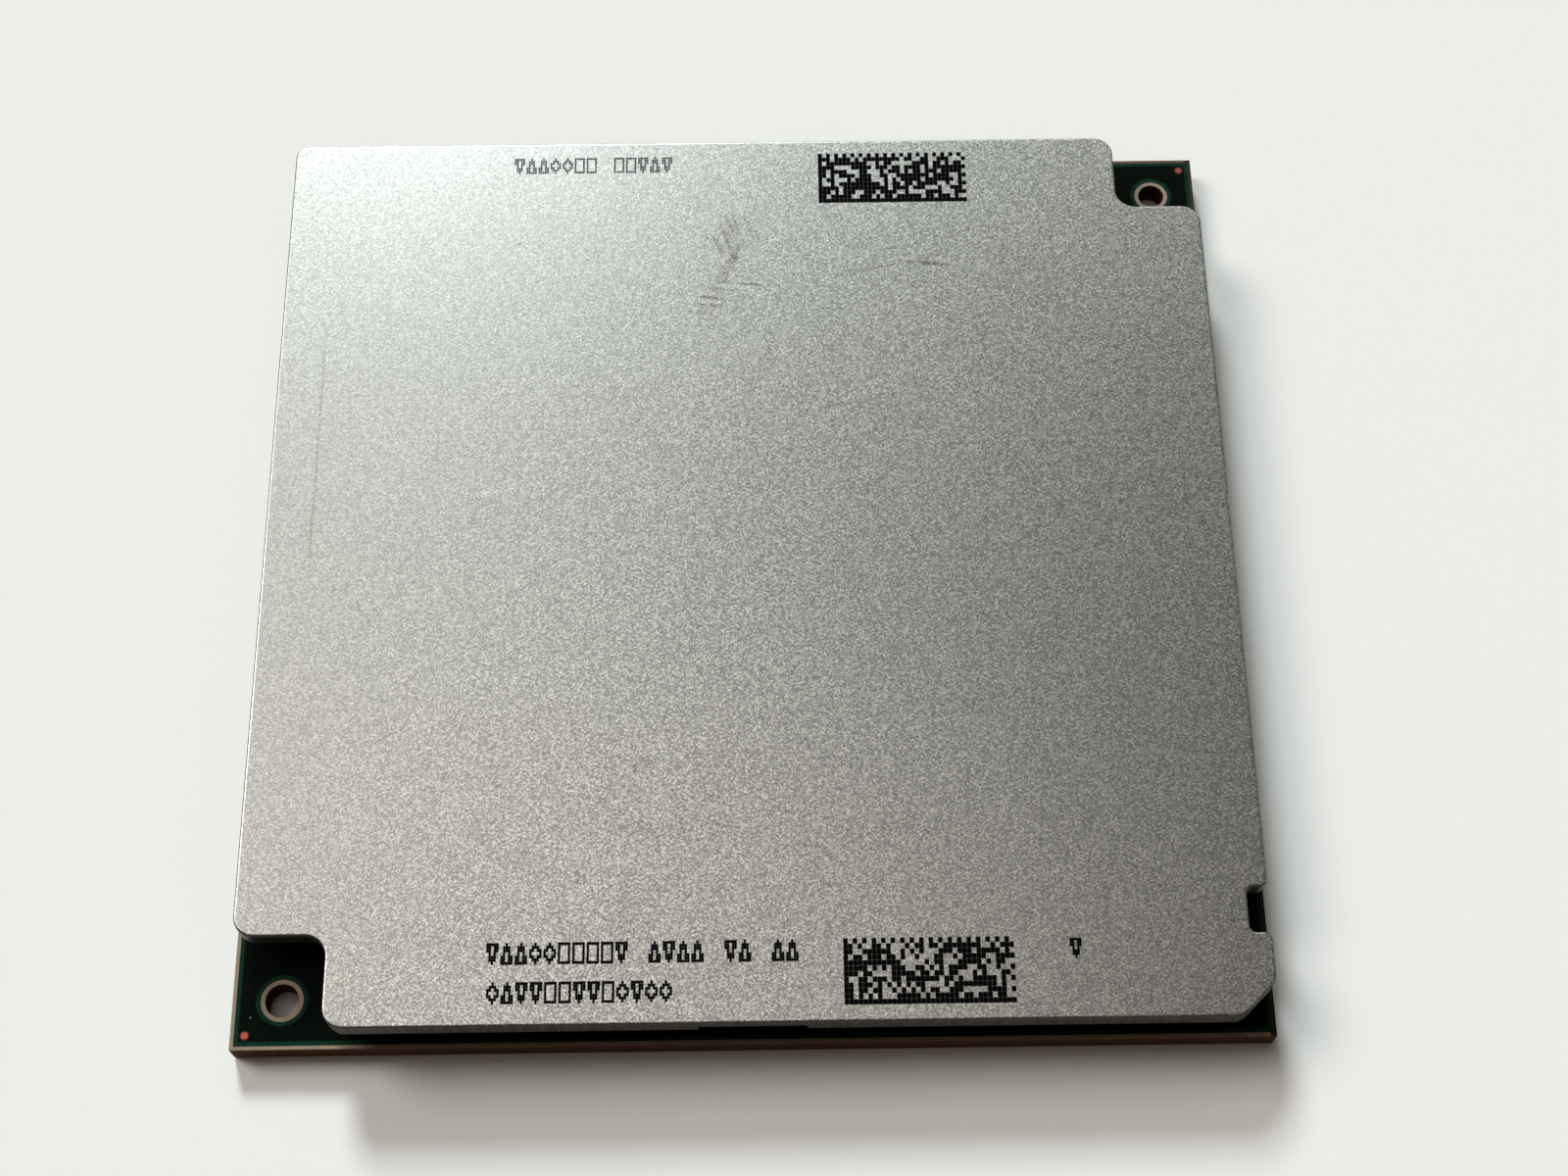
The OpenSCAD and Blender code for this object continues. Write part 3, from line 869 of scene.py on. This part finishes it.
def top_mask_finish():
    """Green mask: nearly black over the copper plane, greener where no copper lies beneath, with faint
    unevenness and dust."""
    material, tree, shader, position = new_finish("solder mask", Specular_IOR_Level=0.02)
    green = without_copper(tree, use_group(tree, BOARD_PLAN, Position=position).outputs)
    coat = use_group(tree, GRAIN, Position=position, **MASK_GRAIN).outputs
    colour = tinted(tree, mix_of(tree, green, MASK_FIELD, MASK_BARE), coat["Grain"])
    dust = add_node(tree, "ShaderNodeTexVoronoi", {"feature": "F1"}, Vector=position, Scale=DUST_SCALE)
    strewn = fall_of(tree, dust.outputs["Distance"], DUST_FROM, DUST_TO, DUST_SHARE)
    away = vector_of(tree, "DISTANCE", flat_of(tree, position), LONE_DUST_AT)
    lone = fall_of(tree, away, LONE_DUST_FROM, LONE_DUST_TO)
    speck = math_of(tree, "MAXIMUM", strewn, lone)
    tree.links.new(mix_of(tree, speck, colour, DUST), shader.inputs["Base Color"])
    vary_roughness(tree, shader, coat["Height"], in_hollows=0.38, on_peaks=0.5)
    add_bump(tree, shader, coat["Height"], depth=0.004, strength=0.5)
    return material


FRONT_COPPER = (0.52, 0.066, 0.046, 1)
REAR_COPPER = (0.30, 0.066, 0.032, 1)
COPPER_RIM = (0.035, 0.008, 0.005, 1)
COPPER_RIM_FROM, COPPER_RIM_TO = -0.10, -0.06
COPPER_GRAIN = {"Size": 0.15, "Contrast": 0.6}
# The front dot's colour gives way to the rear one's within this distance of the board's middle
MIDDLE_BLEND = 1.0


def copper_dot_finish():
    """Bare copper dots: salmon in the middle, browner on the rear one, with a dull dark red rim."""
    material, tree, shader, position = new_finish("bare copper", Specular_IOR_Level=0.2)
    plan = use_group(tree, BOARD_PLAN, Position=position).outputs
    rim = ramp_of(tree, plan["Dot distance"], COPPER_RIM_FROM, COPPER_RIM_TO)
    rear = ramp_of(tree, parts_of(tree, position)["Y"], -MIDDLE_BLEND, MIDDLE_BLEND)
    core = mix_of(tree, rear, FRONT_COPPER, REAR_COPPER)
    grain = use_group(tree, GRAIN, Position=position, **COPPER_GRAIN).outputs
    colour = tinted(tree, mix_of(tree, rim, core, COPPER_RIM), grain["Grain"])
    tree.links.new(colour, shader.inputs["Base Color"])
    vary_roughness(tree, shader, grain["Height"], in_hollows=0.6, on_peaks=0.48)
    return material


LAND_SIDE_FIELD = (0.008, 0.030, 0.020, 1)
LAND_RING = (0.11, 0.075, 0.04, 1)
RING_FROM, RING_TO = LAND_R + 0.04, LAND_R + 0.07
LAND_SIDE_GRAIN = {"Size": 0.5, "Contrast": 0.9}


def bottom_mask_finish():
    """Green mask under the board: a bare ring round each land, on the lands' own grid, and the parts with no
    copper beneath. The ring is found from the distance to the nearest point of the grid."""
    material, tree, shader, position = new_finish("land side mask", Specular_IOR_Level=0.3)
    steps = vector_of(tree, "DIVIDE", flat_of(tree, position), (LAND_PITCH, LAND_PITCH, 1))
    shifted = vector_of(tree, "ADD", steps, (0.5, 0.5, 0))
    inside = vector_of(tree, "SUBTRACT", vector_of(tree, "FRACTION", shifted), (0.5, 0.5, 0))
    out = vector_of(tree, "LENGTH", vector_of(tree, "MULTIPLY", inside, (LAND_PITCH, LAND_PITCH, 0)))
    ring = fall_of(tree, out, RING_FROM, RING_TO)
    count = parts_of(tree, vector_of(tree, "ABSOLUTE", steps))
    far = math_of(tree, "MAXIMUM", count["X"], count["Y"])
    near = math_of(tree, "MINIMUM", count["X"], count["Y"])
    on_grid = math_of(tree, "LESS_THAN", far, LAND_LAST + 0.5)
    off_corner = math_of(tree, "LESS_THAN", near, LAND_LAST - LAND_CORNER + 0.5)
    ring = math_of(tree, "MULTIPLY", ring, math_of(tree, "MULTIPLY", on_grid, off_corner))
    green = without_copper(tree, use_group(tree, BOARD_PLAN, Position=position).outputs)
    field = mix_of(tree, green, LAND_SIDE_FIELD, MASK_BARE)
    coat = use_group(tree, GRAIN, Position=position, **LAND_SIDE_GRAIN).outputs
    colour = tinted(tree, mix_of(tree, ring, field, LAND_RING), coat["Grain"])
    tree.links.new(colour, shader.inputs["Base Color"])
    vary_roughness(tree, shader, coat["Height"], in_hollows=0.32, on_peaks=0.46)
    add_bump(tree, shader, coat["Height"], depth=0.004, strength=0.5)
    return material


ROUGHNESS_SPREAD = 0.06
# Plain finishes by the node or piece that wears them: name, colour, size and contrast of the grain,
# roughness, height of the relief, and other values of the shader
PLAIN_FINISHES = {
    "print": ("black ink", (0.0012, 0.0012, 0.0014), 0.12, 1.2, 0.6, 0.004, {"Specular_IOR_Level": 0.01}),
    "lands": ("gold plating", (0.83, 0.58, 0.22), 0.25, 0.35, 0.28, 0.004, {"Metallic": 1.0}),
    "die": ("ground silicon", (0.16, 0.16, 0.18), 0.4, 0.5, 0.3, 0.003, {"Metallic": 0.6}),
    "underfill": ("black resin", (0.012, 0.012, 0.013), 0.6, 0.8, 0.35, 0.01, {}),
    "thermal_layer": ("thermal gel", (0.42, 0.42, 0.43), 0.3, 0.6, 0.6, 0.01, {}),
    "capacitor_bodies": ("fired ceramic", (0.40, 0.27, 0.16), 0.2, 0.5, 0.5, 0.005, {}),
    "capacitor_ends": ("tinned ends", (0.62, 0.61, 0.58), 0.15, 0.5, 0.35, 0.005, {"Metallic": 1.0}),
    "lid_seal": ("grey sealant", (0.16, 0.16, 0.16), 0.3, 0.6, 0.6, 0.01, {})}


def grained_finish(name, colour, size, contrast, rough, relief, values):
    """A plain finish with grain: its colour, roughness and relief all follow one fine noise."""
    material, tree, shader, position = new_finish(name, **values)
    grain = use_group(tree, GRAIN, Position=position, Size=size, Contrast=contrast).outputs
    tree.links.new(tinted(tree, (*colour, 1), grain["Grain"]), shader.inputs["Base Color"])
    vary_roughness(tree, shader, grain["Height"], rough + ROUGHNESS_SPREAD, rough - ROUGHNESS_SPREAD)
    add_bump(tree, shader, grain["Height"], relief, strength=0.5)
    return material


def make_finishes():
    """Every finish of the module, by the node or piece that wears it."""
    finishes = {wearer: grained_finish(*values) for wearer, values in PLAIN_FINISHES.items()}
    finishes["lid_top"] = blasted_nickel("blasted nickel", LONE_STROKES, LONE_SPECKS)
    finishes["lid_scuff"] = blasted_nickel("scuffed nickel", SCUFF_STROKES, SCUFF_SPECKS)
    finishes["lid_wall"] = plated_wall_painted_dark()
    finishes["laminate"] = laminate_finish()
    finishes["top_mask"] = top_mask_finish()
    finishes["bottom_mask"] = bottom_mask_finish()
    finishes["corner_dots"] = copper_dot_finish()
    return finishes


def dress_solids(finishes):
    """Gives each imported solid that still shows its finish."""
    for name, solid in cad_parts.items():
        if name in finishes:
            solid.data.materials.clear()
            solid.data.materials.append(finishes[name])


# Floor, lights and camera

FLOOR_SIDE = 40000.0
FLOOR_DROP = 0.02
FLOOR = (0.93, 0.93, 0.93, 1)
FLOOR_ROUGHNESS = 0.9
FAR_LIGHT_AT = 2000.0
# Far soft lights: degrees from the rear towards the right, degrees up, degrees across, brightness, colour
FAR_LIGHTS = [
    ("rear_light", -13.8, 36.0, 14.6, 49.0, (0.90, 1.0, 1.0)),
    ("rear_right_light", 13.2, 45.0, 16.2, 1.3, (0.95, 1.0, 0.97)),
    ("left_light", -62.0, 46.0, 27.2, 7.8, (1.0, 0.96, 0.90))]
# Near soft panel: degrees from the rear towards the right, degrees up, distance, side, brightness, colour
NEAR_PANEL = ("upper_left_panel", -44.0, 75.3, 800.0, 430.0, 1.03, (1.0, 0.945, 0.885))
SURROUND = (0.074, 0.060, 0.041, 1)
HORIZON = (0.85, 0.86, 0.84, 1)
HORIZON_ENDS, SURROUND_STARTS = math.sin(math.radians(20)), math.sin(math.radians(36))


def make_floor():
    """Plain pale floor just under the lands."""
    half = FLOOR_SIDE / 2 * MM
    low = -FLOOR_DROP * MM
    mesh = bpy.data.meshes.new("floor")
    corners = [(-half, -half, low), (half, -half, low), (half, half, low), (-half, half, low)]
    mesh.from_pydata(corners, [], [(0, 1, 2, 3)])
    material = bpy.data.materials.new("pale floor")
    material.use_nodes = True
    shader = material.node_tree.nodes["Principled BSDF"]
    shader.inputs["Base Color"].default_value = FLOOR
    shader.inputs["Roughness"].default_value = FLOOR_ROUGHNESS
    shader.inputs["Specular IOR Level"].default_value = 0.0
    mesh.materials.append(material)
    floor = bpy.data.objects.new("floor", mesh)
    bpy.context.scene.collection.objects.link(floor)


def place_lamp(light, turn_deg, rise_deg, distance, colour):
    """Sets a lamp at a direction and distance from the module, facing it, and hides it from the camera."""
    turn, rise = math.radians(turn_deg), math.radians(rise_deg)
    out = Vector((math.sin(turn) * math.cos(rise), math.cos(turn) * math.cos(rise), math.sin(rise)))
    light.color = colour
    lamp = bpy.data.objects.new(light.name, light)
    lamp.location = out * distance * MM
    lamp.rotation_euler = (-out).to_track_quat("-Z", "Y").to_euler()
    lamp.visible_camera = False
    bpy.context.scene.collection.objects.link(lamp)


def make_far_light(name, turn_deg, rise_deg, across_deg, brightness, colour):
    """A far round light of even brightness: its power is the brightness times the part of the sky that it
    fills."""
    light = bpy.data.lights.new(name, "SUN")
    light.angle = math.radians(across_deg)
    light.energy = math.pi * math.sin(light.angle / 2) ** 2 * brightness
    place_lamp(light, turn_deg, rise_deg, FAR_LIGHT_AT, colour)


def make_near_panel(name, turn_deg, rise_deg, distance, side, brightness, colour):
    """A square panel of even brightness: its power is pi times its area times the brightness."""
    light = bpy.data.lights.new(name, "AREA")
    light.shape = "SQUARE"
    light.size = side * MM
    light.energy = math.pi * light.size ** 2 * brightness
    place_lamp(light, turn_deg, rise_deg, distance, colour)


def make_surround():
    """Even dim light from all round, with a pale horizon for what looks at it directly or in a gloss."""
    world = bpy.data.worlds.new("surround")
    world.use_nodes = True
    tree = world.node_tree
    outward = tree.nodes.new("ShaderNodeTexCoord").outputs["Generated"]
    low = fall_of(tree, parts_of(tree, outward)["Z"], HORIZON_ENDS, SURROUND_STARTS)
    path = tree.nodes.new("ShaderNodeLightPath").outputs
    gloss = math_of(tree, "MAXIMUM", path["Is Glossy Ray"], path["Is Transmission Ray"])
    seen = math_of(tree, "MAXIMUM", path["Is Camera Ray"], gloss)
    colour = mix_of(tree, math_of(tree, "MULTIPLY", low, seen), SURROUND, HORIZON)
    tree.links.new(colour, tree.nodes["Background"].inputs["Color"])
    bpy.context.scene.world = world


def make_camera():
    """Camera at the photograph's angle."""
    data = bpy.data.cameras.new("camera")
    data.sensor_fit = "HORIZONTAL"
    data.sensor_width = SENSOR_WIDTH
    data.lens = FOCAL_PX / PHOTO_WIDTH_PX * SENSOR_WIDTH
    data.clip_start = CAMERA_CLIP * MM
    camera = bpy.data.objects.new("camera", data)
    camera.location = Vector(CAMERA_AT) * MM
    aim = Vector(CAMERA_AIM) * MM - camera.location
    camera.rotation_euler = aim.to_track_quat("-Z", "Y").to_euler()
    bpy.context.scene.collection.objects.link(camera)
    bpy.context.scene.camera = camera


finishes = make_finishes()
make_lid(finishes["lid_top"], finishes["lid_wall"], finishes["lid_scuff"])
make_print("rear_print", code_field(REAR_CODE_AT, REAR_SEED), REAR_ROWS, finishes["print"])
make_print("front_print", code_field(FRONT_CODE_AT, FRONT_SEED), FRONT_ROWS, finishes["print"])
make_lands("land_grid", "contact_lands", False, finishes["lands"])
make_lands("resting_lands", "outer_lands", True, finishes["lands"])
dress_solids(finishes)
make_floor()
for far_light in FAR_LIGHTS:
    make_far_light(*far_light)
make_near_panel(*NEAR_PANEL)
make_surround()
make_camera()
bpy.context.scene.view_settings.view_transform = "Standard"

bpy.context.view_layer.update()
